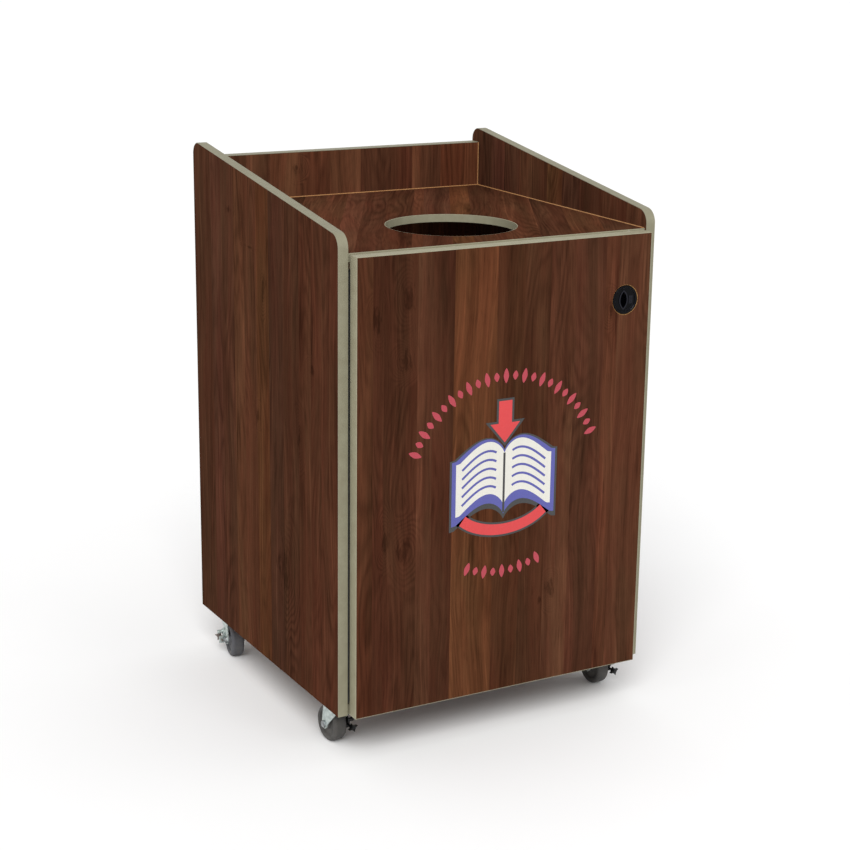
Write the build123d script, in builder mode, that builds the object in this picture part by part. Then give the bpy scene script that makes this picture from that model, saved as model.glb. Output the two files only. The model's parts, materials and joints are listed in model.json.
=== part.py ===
from build123d import *
import math
import os

# Library book drop box on castors.
# Frame: +Z up, the door faces -Y, +X to the right seen from the front.
# Origin on the floor, below the middle of the overall box. Millimetres.

# ---------------------------------------------------------------- sizes
W = 610.0            # overall width over the side panels
D = 598.0            # depth of a side panel
z_base = 80.0        # underside of the cabinet above the floor
t_side = 18.0        # side and bottom board
t_deck = 14.0        # deck board
t_door = 25.0        # door board
t_back = 24.5        # back board
t_band = 1.0         # edge banding
r_band = 0.5         # rounding of the banding's long edges

y_front = -287.5     # front edge of the side panels
y_rear = y_front + D
x_in = W / 2 - t_side          # inner face of a side panel

slope = 0.1415       # rise of the side panels' top edge per mm of depth
z_side_front = z_base + 820.0  # top edge height projected to the front edge
r_side_front = 25.0
r_side_rear = 22.0

z_deck = z_base + 790.4        # top surface of the deck
deck_front = y_front + 5.0
y_back = y_rear - t_back       # front face of the back panel
z_back_top = z_base + 875.1

drop_y = y_front + 176.0       # round drop opening
r_drop = 114.3

door_left = -W / 2 + 22.0
door_right = W / 2 - 21.0
door_back = y_front + 3.5
door_front = door_back - t_door
z_door0 = z_base
z_door1 = z_base + 788.0
door_cx = (door_left + door_right) / 2
door_w = door_right - door_left
door_cz = (z_door0 + z_door1) / 2
door_h = z_door1 - z_door0

# continuous hinge in the left gap
hx = -W / 2 + 20.0
hy = y_front + 1.7
r_knuckle = 1.8
r_pin = 1.0
r_pin_bore = 1.06
t_leaf = 0.9
z_hinge0 = z_base + 24.0
seg = 37.0
n_seg = 20
seg_gap = 0.3
leaf_side = 24.0     # reach of the leaf on the side panel, from the pivot
leaf_door = 27.0     # reach of the leaf on the door, from the pivot
n_screw = 8

# recessed quarter-turn latch
lx = 233.3
lz = z_base + 674.3
r_latch_hole = 25.5
r_cup = 24.7
r_cup_in = 20.8
r_rotor = 20.72
latch_proud = 1.5
cup_front = door_front - latch_proud
cup_depth = 20.5
r_barrel = 13.0
barrel_end = door_back + 6.5
r_spindle = 6.0
r_spindle_bore = 6.05
cam_y0 = door_back + 7.5
cam_t = 3.0
cam_len = 44.0
cam_w = 16.0

# castors
wheel_r = 31.75
wheel_w = 24.0
hub_half = 13.2
trail = 22.0
axle_r = 4.0
axle_bore = 4.05
plate = 54.0
plate_t = 2.5
bolt_half = 19.0
cheek_in = 13.6
cheek_t = 2.0
knob_lat = 22.0      # brake screw, sideways from the castor's middle plane
knob_z = 28.0        # brake screw height
boss_z = 40.5        # brake pivot boss height
castors = {
    "fl": (-W / 2 + 32.0, y_front + 63.0, 275.0),
    "fr": (W / 2 - 32.0, y_front + 63.0, 272.0),
    "rl": (-W / 2 + 34.0, y_front + 535.0, 81.5),
    "rr": (W / 2 - 34.0, y_front + 535.0, 75.0),
}

# liner bin
bin_cx = 0.0
bin_cy = y_front + 245.0
bin_z0 = z_base + t_side + 0.2
bin_h = 590.0
bin_bot = 360.0
bin_top = 412.0
bin_wall = 4.0

dowel_r = 3.98
dowel_bore = 4.02
dowel_len = 40.0
dowel_in_side = 12.0

os.makedirs("parts", exist_ok=True)


def finish_part(builder, name):
    builder.part.label = name
    export_step(builder.part, f"parts/{name}.step")


def side_points(inset):
    """Corners of a side panel in the YZ plane, its banded edges moved in by inset."""
    y0 = y_front + inset
    y1 = y_rear - inset
    rise = inset * math.sqrt(1 + slope ** 2)
    za = z_side_front + slope * (y0 - y_front) - rise
    zb = z_side_front + slope * (y1 - y_front) - rise
    return [(y0, z_base), (y0, za), (y1, zb), (y1, z_base)]


# dowel positions: (y, z) on each side joint
dowels_deck = [(y_front + 60.0, z_deck - t_deck / 2), (y_front + 330.0, z_deck - t_deck / 2),
               (y_front + 520.0, z_deck - t_deck / 2)]
dowels_bottom = [(y_front + 115.0, z_base + t_side / 2), (y_front + 300.0, z_base + t_side / 2),
                 (y_front + 478.0, z_base + t_side / 2)]
dowels_back = [(y_back + t_back / 2, z_base + 120.0), (y_back + t_back / 2, z_base + 400.0),
               (y_back + t_back / 2, z_base + 690.0)]
dowels_all = dowels_deck + dowels_bottom + dowels_back

screw_z = [z_hinge0 + 25.0 + i * (seg * n_seg - 50.0) / (n_screw - 1) for i in range(n_screw)]
screw_side_y = hy + 14.5
screw_door_x = hx + 17.0
r_screw = 1.5
r_pilot = 1.52

# strike and catch on the right side panel
strike_z0, strike_z1 = lz - 11.0, lz + 11.0
strike_y0 = door_back + 3.5
strike_t = 2.0
catch_z0, catch_z1 = z_base + 716.0, z_base + 760.0
catch_y0 = deck_front
catch_screw_y = catch_y0 + 12.0

# ---------------------------------------------------------------- side panels
for name, x0, sgn in (("left", -W / 2, 1), ("right", x_in, -1)):
    inner = -x_in if sgn > 0 else x_in
    with BuildPart() as side_panel:
        with BuildSketch(Plane.YZ.offset(x0)) as sk:
            with BuildLine():
                Polyline(*side_points(t_band), close=True)
            make_face()
            corners = sk.vertices().sort_by(Axis.Y)
            fillet(corners[2], radius=r_side_front - t_band)
            fillet(sk.vertices().sort_by(Axis.Y)[-1], radius=r_side_rear - t_band)
        extrude(amount=t_side)
        # blind dowel bores in the inner face
        with BuildSketch(Plane.YZ.offset(inner)):
            with Locations(*dowels_all):
                Circle(dowel_bore)
        extrude(amount=-sgn * (dowel_in_side + 0.3), mode=Mode.SUBTRACT)
        # pilot holes of the castor screws that fall in this board's lower edge
        for cx, cy, head in castors.values():
            if cx * sgn < 0:
                px = cx - sgn * bolt_half
                with BuildSketch(Plane.XY.offset(z_base)):
                    with Locations((px, cy - bolt_half), (px, cy + bolt_half)):
                        Circle(2.42)
                extrude(amount=16.3, mode=Mode.SUBTRACT)
        if name == "left":
            with BuildSketch(Plane.YZ.offset(inner)):
                with Locations(*[(screw_side_y, z) for z in screw_z]):
                    Circle(r_pilot)
            extrude(amount=-12.3, mode=Mode.SUBTRACT)
        else:
            with BuildSketch(Plane.YZ.offset(inner)):
                with Locations((strike_y0 + 14.0, lz - 6.0), (strike_y0 + 14.0, lz + 6.0),
                               (catch_screw_y, catch_z0 + 6.0), (catch_screw_y, catch_z1 - 6.0)):
                    Circle(r_pilot)
            extrude(amount=12.3, mode=Mode.SUBTRACT)
    finish_part(side_panel, f"side_panel_{name}")

    # one strip of banding runs up the front edge, along the slope and down the rear edge
    with BuildPart() as side_band:
        with BuildSketch(Plane.YZ.offset(x0)) as outer:
            with BuildLine():
                Polyline(*side_points(0.0), close=True)
            make_face()
            corners = outer.vertices().sort_by(Axis.Y)
            fillet(corners[2], radius=r_side_front - 0.0)
            fillet(outer.vertices().sort_by(Axis.Y)[-1], radius=r_side_rear - 0.0)
        extrude(amount=t_side)
        long_edges = side_band.edges().filter_by(
            lambda e: abs(e.bounding_box().size.X) < 1e-4 and e.center().Z > z_base + 1.0)
        fillet(long_edges, radius=r_band)
        with BuildSketch(Plane.YZ.offset(x0)) as core:
            with BuildLine():
                Polyline(*side_points(t_band), close=True)
            make_face()
            corners = core.vertices().sort_by(Axis.Y)
            fillet(corners[2], radius=r_side_front - t_band)
            fillet(core.vertices().sort_by(Axis.Y)[-1], radius=r_side_rear - t_band)
        extrude(amount=t_side, mode=Mode.SUBTRACT)
    finish_part(side_band, f"side_band_{name}")

# ---------------------------------------------------------------- back panel
with BuildPart() as back_panel:
    with BuildSketch(Plane.XY.offset(z_base)):
        with Locations((0, y_back + t_back / 2)):
            Rectangle(2 * x_in, t_back)
    extrude(amount=z_back_top - t_band - z_base)
    for s in (-1, 1):
        with BuildSketch(Plane.YZ.offset(s * x_in)):
            with Locations(*dowels_back):
                Circle(dowel_bore)
        extrude(amount=-s * (dowel_len - dowel_in_side + 0.3), mode=Mode.SUBTRACT)
finish_part(back_panel, "back_panel")

with BuildPart() as back_band:
    with BuildSketch(Plane.XY.offset(z_back_top - t_band)):
        with Locations((0, y_back + t_back / 2)):
            Rectangle(2 * x_in, t_back)
    extrude(amount=t_band)
    fillet(back_band.edges().filter_by(Axis.X).group_by(Axis.Z)[-1], radius=r_band)
finish_part(back_band, "back_band")

# ---------------------------------------------------------------- top deck
deck_depth = y_back - deck_front
with BuildPart() as top_deck:
    with BuildSketch(Plane.XY.offset(z_deck - t_deck)):
        with Locations((0, (deck_front + t_band + y_back) / 2)):
            Rectangle(2 * x_in, deck_depth - t_band)
        with Locations((0, drop_y)):
            Circle(r_drop + t_band, mode=Mode.SUBTRACT)
    extrude(amount=t_deck)
    for s in (-1, 1):
        with BuildSketch(Plane.YZ.offset(s * x_in)):
            with Locations(*dowels_deck):
                Circle(dowel_bore)
        extrude(amount=-s * (dowel_len - dowel_in_side + 0.3), mode=Mode.SUBTRACT)
finish_part(top_deck, "top_deck")

with BuildPart() as deck_front_band:
    with BuildSketch(Plane.XY.offset(z_deck - t_deck)):
        with Locations((0, deck_front + t_band / 2)):
            Rectangle(2 * x_in, t_band)
    extrude(amount=t_deck)
    fillet(deck_front_band.edges().filter_by(Axis.X).group_by(Axis.Y)[0], radius=r_band)
finish_part(deck_front_band, "deck_front_band")

with BuildPart() as drop_hole_band:
    with BuildSketch(Plane.XY.offset(z_deck - t_deck)):
        with Locations((0, drop_y)):
            Circle(r_drop + t_band)
            Circle(r_drop, mode=Mode.SUBTRACT)
    extrude(amount=t_deck)
    inner_rims = drop_hole_band.edges().filter_by(GeomType.CIRCLE).filter_by(
        lambda e: abs(e.radius - r_drop) < 0.01)
    fillet(inner_rims, radius=r_band)
finish_part(drop_hole_band, "drop_hole_band")

# ---------------------------------------------------------------- bottom panel
with BuildPart() as bottom_panel:
    with BuildSketch(Plane.XY.offset(z_base)):
        with Locations((0, (deck_front + t_band + y_back) / 2)):
            Rectangle(2 * x_in, deck_depth - t_band)
    extrude(amount=t_side)
    for s in (-1, 1):
        with BuildSketch(Plane.YZ.offset(s * x_in)):
            with Locations(*dowels_bottom):
                Circle(dowel_bore)
        extrude(amount=-s * (dowel_len - dowel_in_side + 0.3), mode=Mode.SUBTRACT)
    for cx, cy, head in castors.values():
        px = cx + (bolt_half if cx < 0 else -bolt_half)
        with BuildSketch(Plane.XY.offset(z_base)):
            with Locations((px, cy - bolt_half), (px, cy + bolt_half)):
                Circle(2.42)
        extrude(amount=16.3, mode=Mode.SUBTRACT)
finish_part(bottom_panel, "bottom_panel")

with BuildPart() as bottom_front_band:
    with BuildSketch(Plane.XY.offset(z_base)):
        with Locations((0, deck_front + t_band / 2)):
            Rectangle(2 * x_in, t_band)
    extrude(amount=t_side)
    fillet(bottom_front_band.edges().filter_by(Axis.X).group_by(Axis.Y)[0], radius=r_band)
finish_part(bottom_front_band, "bottom_front_band")

# glued beech dowels joining deck, bottom and back to the sides
with BuildPart() as panel_dowels:
    for s in (-1, 1):
        x_start = s * (x_in + dowel_in_side)
        with BuildSketch(Plane.YZ.offset(x_start)):
            with Locations(*dowels_all):
                Circle(dowel_r)
        extrude(amount=-s * dowel_len)
    chamfer(panel_dowels.edges().filter_by(GeomType.CIRCLE), length=0.8)
finish_part(panel_dowels, "panel_dowels")

# strips that locate the liner bin on the bottom panel
with BuildPart() as bin_rails:
    with BuildSketch(Plane.XY.offset(z_base + t_side)):
        for s in (-1, 1):
            with Locations((bin_cx + s * (bin_bot / 2 + 12.0), bin_cy)):
                Rectangle(16.0, 340.0)
        with Locations((bin_cx, bin_cy + bin_bot / 2 + 12.0)):
            Rectangle(300.0, 16.0)
    extrude(amount=16.0)
    chamfer(bin_rails.faces().group_by(Axis.Z)[-1].edges(), length=2.0)
finish_part(bin_rails, "bin_rails")

# ---------------------------------------------------------------- door
with BuildPart() as door_panel:
    with BuildSketch(Plane.XZ.offset(-door_back)):
        with Locations((door_cx, door_cz)):
            Rectangle(door_w - 2 * t_band, door_h - 2 * t_band)
    extrude(amount=t_door)
    # latch bore, wide from the front and narrow through the back
    with BuildSketch(Plane.XZ.offset(-door_front)):
        with Locations((lx, lz)):
            Circle(r_latch_hole)
    extrude(amount=-(cup_depth - latch_proud + 0.1), mode=Mode.SUBTRACT)
    rim = door_panel.edges().filter_by(GeomType.CIRCLE).sort_by(Axis.Y)[0]
    chamfer(rim, length=0.8)
    with BuildSketch(Plane.XZ.offset(-door_back)):
        with Locations((lx, lz)):
            Circle(r_barrel + 0.1)
    extrude(amount=t_door, mode=Mode.SUBTRACT)
    # rebate for the hinge leaf
    with BuildSketch(Plane.XZ.offset(-door_back)):
        with Locations(((door_left + t_band + hx + leaf_door + 0.2) / 2, z_hinge0 + seg * n_seg / 2)):
            Rectangle(hx + leaf_door + 0.2 - door_left - t_band, seg * n_seg + 0.4)
    extrude(amount=t_leaf + 0.02, mode=Mode.SUBTRACT)
    with BuildSketch(Plane.XZ.offset(-door_back)):
        with Locations(*[(screw_door_x, z) for z in screw_z]):
            Circle(r_pilot)
        with Locations((door_right - 8.0, catch_z0 + 8.0), (door_right - 8.0, catch_z1 - 8.0)):
            Circle(r_pilot)
    extrude(amount=14.0, mode=Mode.SUBTRACT)
finish_part(door_panel, "door_panel")

with BuildPart() as door_band:
    with BuildSketch(Plane.XZ.offset(-door_back)):
        with Locations((door_cx, door_cz)):
            Rectangle(door_w, door_h)
    extrude(amount=t_door)
    ring = door_band.edges().filter_by(lambda e: abs(e.bounding_box().size.Y) < 1e-4)
    fillet(ring, radius=r_band)
    with BuildSketch(Plane.XZ.offset(-door_back)):
        with Locations((door_cx, door_cz)):
            Rectangle(door_w - 2 * t_band, door_h - 2 * t_band)
    extrude(amount=t_door, mode=Mode.SUBTRACT)
    # the leaf passes through the left strip of banding
    with BuildSketch(Plane.XZ.offset(-door_back)):
        with Locations((door_left + t_band / 2, z_hinge0 + seg * n_seg / 2)):
            Rectangle(t_band + 0.4, seg * n_seg + 0.4)
    extrude(amount=t_leaf + 0.02, mode=Mode.SUBTRACT)
finish_part(door_band, "door_band")

# ---------------------------------------------------------------- hinge
with BuildPart() as hinge_side_leaf:
    # flat leaf on the side panel's inner face
    with BuildSketch(Plane.XY.offset(z_hinge0)):
        with Locations(((-x_in + t_leaf / 2), (hy + 2.2 + hy + leaf_side) / 2)):
            Rectangle(t_leaf, leaf_side - 2.2)
    extrude(amount=seg * n_seg)
    for i in range(0, n_seg, 2):
        with BuildSketch(Plane.XY.offset(z_hinge0 + i * seg + seg_gap / 2)):
            with Locations((hx, hy)):
                Circle(r_knuckle)
            with Locations((-x_in + t_leaf / 2, hy + 1.2)):
                Rectangle(t_leaf, 2.4)
        extrude(amount=seg - seg_gap)
    with BuildSketch(Plane.XY.offset(z_hinge0)):
        with Locations((hx, hy)):
            Circle(r_pin_bore)
    extrude(amount=seg * n_seg, mode=Mode.SUBTRACT)
    with BuildSketch(Plane.YZ.offset(-x_in)):
        with Locations(*[(screw_side_y, z) for z in screw_z]):
            Circle(r_screw + 0.2)
    extrude(amount=t_leaf, mode=Mode.SUBTRACT)
finish_part(hinge_side_leaf, "hinge_side_leaf")

with BuildPart() as hinge_door_leaf:
    with BuildSketch(Plane.XY.offset(z_hinge0)):
        with Locations(((hx + 2.2 + hx + leaf_door) / 2, door_back - t_leaf / 2)):
            Rectangle(leaf_door - 2.2, t_leaf)
    extrude(amount=seg * n_seg)
    for i in range(1, n_seg, 2):
        with BuildSketch(Plane.XY.offset(z_hinge0 + i * seg + seg_gap / 2)):
            with Locations((hx, hy)):
                Circle(r_knuckle)
            with Locations((hx + 1.2, door_back - t_leaf / 2)):
                Rectangle(2.4, t_leaf)
        extrude(amount=seg - seg_gap)
    with BuildSketch(Plane.XY.offset(z_hinge0)):
        with Locations((hx, hy)):
            Circle(r_pin_bore)
    extrude(amount=seg * n_seg, mode=Mode.SUBTRACT)
    with BuildSketch(Plane.XZ.offset(-door_back)):
        with Locations(*[(screw_door_x, z) for z in screw_z]):
            Circle(r_screw + 0.2)
    extrude(amount=t_leaf + 0.1, mode=Mode.SUBTRACT)
finish_part(hinge_door_leaf, "hinge_door_leaf")

with BuildPart() as hinge_pin:
    with BuildSketch(Plane.XY.offset(z_hinge0 - 0.5)):
        with Locations((hx, hy)):
            Circle(r_pin)
    extrude(amount=seg * n_seg + 1.0)
    # upset ends keep the pin in the knuckles
    for z, a in ((z_hinge0 - 1.3, 0.8), (z_hinge0 + seg * n_seg + 0.5, 0.8)):
        with BuildSketch(Plane.XY.offset(z)):
            with Locations((hx, hy)):
                Circle(1.6)
        extrude(amount=a)
finish_part(hinge_pin, "hinge_pin")

with BuildPart() as hinge_side_screws:
    with BuildSketch(Plane.YZ.offset(-x_in + t_leaf)):
        with Locations(*[(screw_side_y, z) for z in screw_z]):
            Circle(2.9)
    extrude(amount=1.1)
    fillet(hinge_side_screws.edges().filter_by(GeomType.CIRCLE).group_by(Axis.X)[-1], radius=0.7)
    with BuildSketch(Plane.YZ.offset(-x_in + t_leaf)):
        with Locations(*[(screw_side_y, z) for z in screw_z]):
            Circle(r_screw)
    extrude(amount=-12.0 - t_leaf)
    with BuildSketch(Plane.YZ.offset(-x_in + t_leaf + 1.1)):
        with Locations(*[(screw_side_y, z) for z in screw_z]):
            Rectangle(3.0, 0.7)
            Rectangle(0.7, 3.0)
    extrude(amount=-0.7, mode=Mode.SUBTRACT)
finish_part(hinge_side_screws, "hinge_side_screws")

with BuildPart() as hinge_door_screws:
    with BuildSketch(Plane.XZ.offset(-door_back)):
        with Locations(*[(screw_door_x, z) for z in screw_z]):
            Circle(2.9)
    extrude(amount=-1.1)
    fillet(hinge_door_screws.edges().filter_by(GeomType.CIRCLE).group_by(Axis.Y)[-1], radius=0.7)
    with BuildSketch(Plane.XZ.offset(-door_back)):
        with Locations(*[(screw_door_x, z) for z in screw_z]):
            Circle(r_screw)
    extrude(amount=12.0)
    with BuildSketch(Plane.XZ.offset(-door_back - 1.1)):
        with Locations(*[(screw_door_x, z) for z in screw_z]):
            Rectangle(3.0, 0.7)
            Rectangle(0.7, 3.0)
    extrude(amount=0.7, mode=Mode.SUBTRACT)
finish_part(hinge_door_screws, "hinge_door_screws")

# ---------------------------------------------------------------- latch
with BuildPart() as latch_cup:
    with BuildSketch(Plane.XZ.offset(-cup_front)):
        with Locations((lx, lz)):
            Circle(r_cup)
    extrude(amount=-cup_depth)
    front_rim = latch_cup.edges().filter_by(GeomType.CIRCLE).sort_by(Axis.Y)[0]
    fillet(front_rim, radius=1.3)
    with BuildSketch(Plane.XZ.offset(-cup_front)):
        with Locations((lx, lz)):
            Circle(r_cup_in)
    extrude(amount=-12.1, mode=Mode.SUBTRACT)
    mouth = latch_cup.edges().filter_by(GeomType.CIRCLE).filter_by(
        lambda e: abs(e.radius - r_cup_in) < 0.01).sort_by(Axis.Y)[0]
    chamfer(mouth, length=0.9)
    with BuildSketch(Plane.XZ.offset(-(cup_front + cup_depth))):
        with Locations((lx, lz)):
            Circle(r_barrel)
    extrude(amount=-(barrel_end - cup_front - cup_depth))
    with BuildSketch(Plane.XZ.offset(-cup_front)):
        with Locations((lx, lz)):
            Circle(r_spindle_bore)
    extrude(amount=-(barrel_end - cup_front), mode=Mode.SUBTRACT)
finish_part(latch_cup, "latch_cup")

with BuildPart() as latch_nut:
    with BuildSketch(Plane.XZ.offset(-door_back)):
        with Locations((lx, lz)):
            RegularPolygon(19.0, 6)
            Circle(r_barrel + 0.02, mode=Mode.SUBTRACT)
    extrude(amount=-4.0)
finish_part(latch_nut, "latch_nut")

rotor_front = cup_front + 1.0
with BuildPart() as latch_rotor:
    with BuildSketch(Plane.XZ.offset(-(rotor_front + 1.0))):
        with Locations((lx, lz)):
            Circle(r_rotor)
    extrude(amount=-(12.0 - 2.0))
    # raised leaf-shaped lip round the finger recess
    with BuildSketch(Plane.XZ.offset(-(rotor_front + 1.0))):
        with BuildLine():
            ThreePointArc((lx - 3.5, lz + 17.3), (lx - 12.3, lz), (lx - 3.5, lz - 17.3))
            ThreePointArc((lx - 3.5, lz - 17.3), (lx + 5.3, lz), (lx - 3.5, lz + 17.3))
        make_face()
    extrude(amount=1.0)
    # ribbed thumb pad beside it
    with BuildSketch(Plane.XZ.offset(-(rotor_front + 1.0))):
        with Locations((lx + 11.2, lz)):
            RectangleRounded(8.6, 15.0, 1.5)
    extrude(amount=0.6)
    with BuildSketch(Plane.XZ.offset(-(rotor_front + 0.4))):
        with Locations(*[(lx + 11.2, lz + k * 2.4) for k in (-2, -1, 0, 1, 2)]):
            Rectangle(7.4, 1.1)
    extrude(amount=0.5)
    # short grip ribs round the lower right of the rim
    for a in range(-85, -24, 8):
        rp = Plane(origin=(lx, rotor_front + 1.0, lz),
                   x_dir=(math.cos(math.radians(a)), 0, math.sin(math.radians(a))), z_dir=(0, -1, 0))
        with BuildSketch(rp):
            with Locations((18.2, 0)):
                Rectangle(3.4, 1.1)
        extrude(amount=0.7)
    # finger recess
    with BuildSketch(Plane.XZ.offset(-rotor_front)):
        with BuildLine():
            ThreePointArc((lx - 3.5, lz + 14.6), (lx - 10.2, lz), (lx - 3.5, lz - 14.6))
            ThreePointArc((lx - 3.5, lz - 14.6), (lx + 3.2, lz), (lx - 3.5, lz + 14.6))
        make_face()
    extrude(amount=-9.0, mode=Mode.SUBTRACT)
    # spindle through the barrel
    with BuildSketch(Plane.XZ.offset(-(rotor_front + 11.0))):
        with Locations((lx, lz)):
            Circle(r_spindle)
    extrude(amount=-(cam_y0 - 0.1 - rotor_front - 11.0))
    # square end that drives the cam
    with BuildSketch(Plane.XZ.offset(-(cam_y0 - 0.1))):
        with Locations((lx, lz)):
            Rectangle(7.6, 7.6)
    extrude(amount=-(cam_t - 0.1))
    with BuildSketch(Plane.XZ.offset(-(cam_y0 + cam_t))):
        with Locations((lx, lz)):
            Circle(2.02)
    extrude(amount=11.0, mode=Mode.SUBTRACT)
finish_part(latch_rotor, "latch_rotor")

with BuildPart() as latch_cam:
    with BuildSketch(Plane.XZ.offset(-cam_y0)):
        with Locations((lx, lz)):
            Circle(11.0)
        with Locations((lx, lz - cam_len / 2)):
            Rectangle(cam_w, cam_len)
        with Locations((lx, lz)):
            Rectangle(7.7, 7.7, mode=Mode.SUBTRACT)
    extrude(amount=-cam_t)
    fillet(latch_cam.edges().filter_by(Axis.Y).group_by(Axis.Z)[0], radius=4.0)
finish_part(latch_cam, "latch_cam")

with BuildPart() as latch_cam_screw:
    with BuildSketch(Plane.XZ.offset(-(cam_y0 + cam_t))):
        with Locations((lx, lz)):
            Circle(6.5)
    extrude(amount=-1.0)
    with BuildSketch(Plane.XZ.offset(-(cam_y0 + cam_t + 1.0))):
        with Locations((lx, lz)):
            Circle(4.0)
    extrude(amount=-2.4)
    fillet(latch_cam_screw.edges().filter_by(GeomType.CIRCLE).sort_by(Axis.Y)[-1], radius=1.0)
    with BuildSketch(Plane.XZ.offset(-(cam_y0 + cam_t))):
        with Locations((lx, lz)):
            Circle(2.0)
    extrude(amount=10.0)
    with BuildSketch(Plane.XZ.offset(-(cam_y0 + cam_t + 3.4))):
        with Locations((lx, lz)):
            Rectangle(4.4, 1.0)
            Rectangle(1.0, 4.4)
    extrude(amount=1.2, mode=Mode.SUBTRACT)
finish_part(latch_cam_screw, "latch_cam_screw")

# angle strike on the right side panel: the cam turns in behind its ear
with BuildPart() as latch_strike:
    with BuildSketch(Plane.XY.offset(strike_z0)):
        with Locations((x_in - strike_t / 2, strike_y0 + 12.0)):
            Rectangle(strike_t, 24.0)
        with Locations((x_in - 8.5, strike_y0 + strike_t / 2)):
            Rectangle(17.0, strike_t)
    extrude(amount=strike_z1 - strike_z0)
    with BuildSketch(Plane.YZ.offset(x_in)):
        with Locations((strike_y0 + 14.0, lz - 6.0), (strike_y0 + 14.0, lz + 6.0)):
            Circle(r_screw + 0.2)
    extrude(amount=-strike_t, mode=Mode.SUBTRACT)
finish_part(latch_strike, "latch_strike")

with BuildPart() as magnet_catch:
    with BuildSketch(Plane.XY.offset(catch_z0)):
        with Locations((x_in - 7.0, catch_y0 + 9.5)):
            Rectangle(14.0, 18.0)
    extrude(amount=catch_z1 - catch_z0)
    fillet(magnet_catch.edges().filter_by(Axis.Y).group_by(Axis.X)[0], radius=2.0)
    # magnet and its two steel pole plates show in the front face
    with BuildSketch(Plane.XZ.offset(-(catch_y0 + 0.5))):
        with Locations((x_in - 7.0, (catch_z0 + catch_z1) / 2)):
            Rectangle(7.0, 30.0)
    extrude(amount=0.4)
    with BuildSketch(Plane.YZ.offset(x_in)):
        with Locations((catch_screw_y, catch_z0 + 6.0), (catch_screw_y, catch_z1 - 6.0)):
            Circle(r_screw + 0.2)
    extrude(amount=-14.0, mode=Mode.SUBTRACT)
finish_part(magnet_catch, "magnet_catch")

with BuildPart() as catch_plate:
    with BuildSketch(Plane.XZ.offset(-door_back)):
        with Locations((door_right - 8.0, (catch_z0 + catch_z1) / 2)):
            RectangleRounded(12.0, 44.0, 2.0)
        with Locations((door_right - 8.0, catch_z0 + 8.0), (door_right - 8.0, catch_z1 - 8.0)):
            Circle(r_screw + 0.1, mode=Mode.SUBTRACT)
    extrude(amount=-0.9)
finish_part(catch_plate, "catch_plate")

with BuildPart() as catch_plate_screws:
    with BuildSketch(Plane.XZ.offset(-(door_back + 0.9))):
        with Locations((door_right - 8.0, catch_z0 + 8.0), (door_right - 8.0, catch_z1 - 8.0)):
            Circle(1.58)
    extrude(amount=0.3)
    with BuildSketch(Plane.XZ.offset(-(door_back + 0.6))):
        with Locations((door_right - 8.0, catch_z0 + 8.0), (door_right - 8.0, catch_z1 - 8.0)):
            Circle(r_screw)
    extrude(amount=12.0)
finish_part(catch_plate_screws, "catch_plate_screws")

with BuildPart() as cabinet_screws:
    # strike screws
    strike_pts = [(strike_y0 + 14.0, lz - 6.0), (strike_y0 + 14.0, lz + 6.0)]
    with BuildSketch(Plane.YZ.offset(x_in - strike_t)):
        with Locations(*strike_pts):
            Circle(2.9)
    extrude(amount=-1.3)
    with BuildSketch(Plane.YZ.offset(x_in - strike_t)):
        with Locations(*strike_pts):
            Circle(r_screw)
    extrude(amount=strike_t + 12.0)
    # catch screws
    catch_pts = [(catch_screw_y, catch_z0 + 6.0), (catch_screw_y, catch_z1 - 6.0)]
    with BuildSketch(Plane.YZ.offset(x_in - 14.0)):
        with Locations(*catch_pts):
            Circle(2.9)
    extrude(amount=-1.3)
    with BuildSketch(Plane.YZ.offset(x_in - 14.0)):
        with Locations(*catch_pts):
            Circle(r_screw)
    extrude(amount=14.0 + 12.0)
finish_part(cabinet_screws, "cabinet_screws")

# clear stick-on stops between the door and the deck and bottom edges
with BuildPart() as door_bumpers:
    with BuildSketch(Plane.XZ.offset(-deck_front)):
        with Locations((door_right - 30.0, z_deck - t_deck / 2), (door_right - 30.0, z_base + t_side / 2)):
            Circle(5.0)
    extrude(amount=1.3)
    fillet(door_bumpers.edges().filter_by(GeomType.CIRCLE).group_by(Axis.Y)[0], radius=0.8)
finish_part(door_bumpers, "door_bumpers")

# ---------------------------------------------------------------- liner bin
with BuildPart() as liner_bin:
    with BuildSketch(Plane.XY.offset(bin_z0)):
        with Locations((bin_cx, bin_cy)):
            RectangleRounded(bin_bot, bin_bot, 30.0)
    with BuildSketch(Plane.XY.offset(bin_z0 + bin_h)):
        with Locations((bin_cx, bin_cy)):
            RectangleRounded(bin_top, bin_top, 36.0)
    loft()
    # rolled rim
    with BuildSketch(Plane.XY.offset(bin_z0 + bin_h - 14.0)):
        with Locations((bin_cx, bin_cy)):
            RectangleRounded(bin_top + 14.0, bin_top + 14.0, 42.0)
    extrude(amount=14.0)
    k = 5.0 / bin_h * (bin_top - bin_bot)
    with BuildSketch(Plane.XY.offset(bin_z0 + 5.0)):
        with Locations((bin_cx, bin_cy)):
            RectangleRounded(bin_bot + k - 2 * bin_wall, bin_bot + k - 2 * bin_wall, 27.0)
    with BuildSketch(Plane.XY.offset(bin_z0 + bin_h)):
        with Locations((bin_cx, bin_cy)):
            RectangleRounded(bin_top - 2 * bin_wall, bin_top - 2 * bin_wall, 32.0)
    loft(mode=Mode.SUBTRACT)
    # hand slots through the two side walls under the rim
    with BuildSketch(Plane.YZ.offset(bin_cx - bin_top)):
        with Locations((bin_cy, bin_z0 + bin_h - 42.0)):
            SlotOverall(110.0, 30.0)
    extrude(amount=2 * bin_top, mode=Mode.SUBTRACT)
finish_part(liner_bin, "liner_bin")

# ---------------------------------------------------------------- castors
z_crown = 66.0       # underside of the fork crown
z_race = 72.0        # height of the ball centres
ball_r = 2.0
ring_r = 11.6
n_balls = 14

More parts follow.
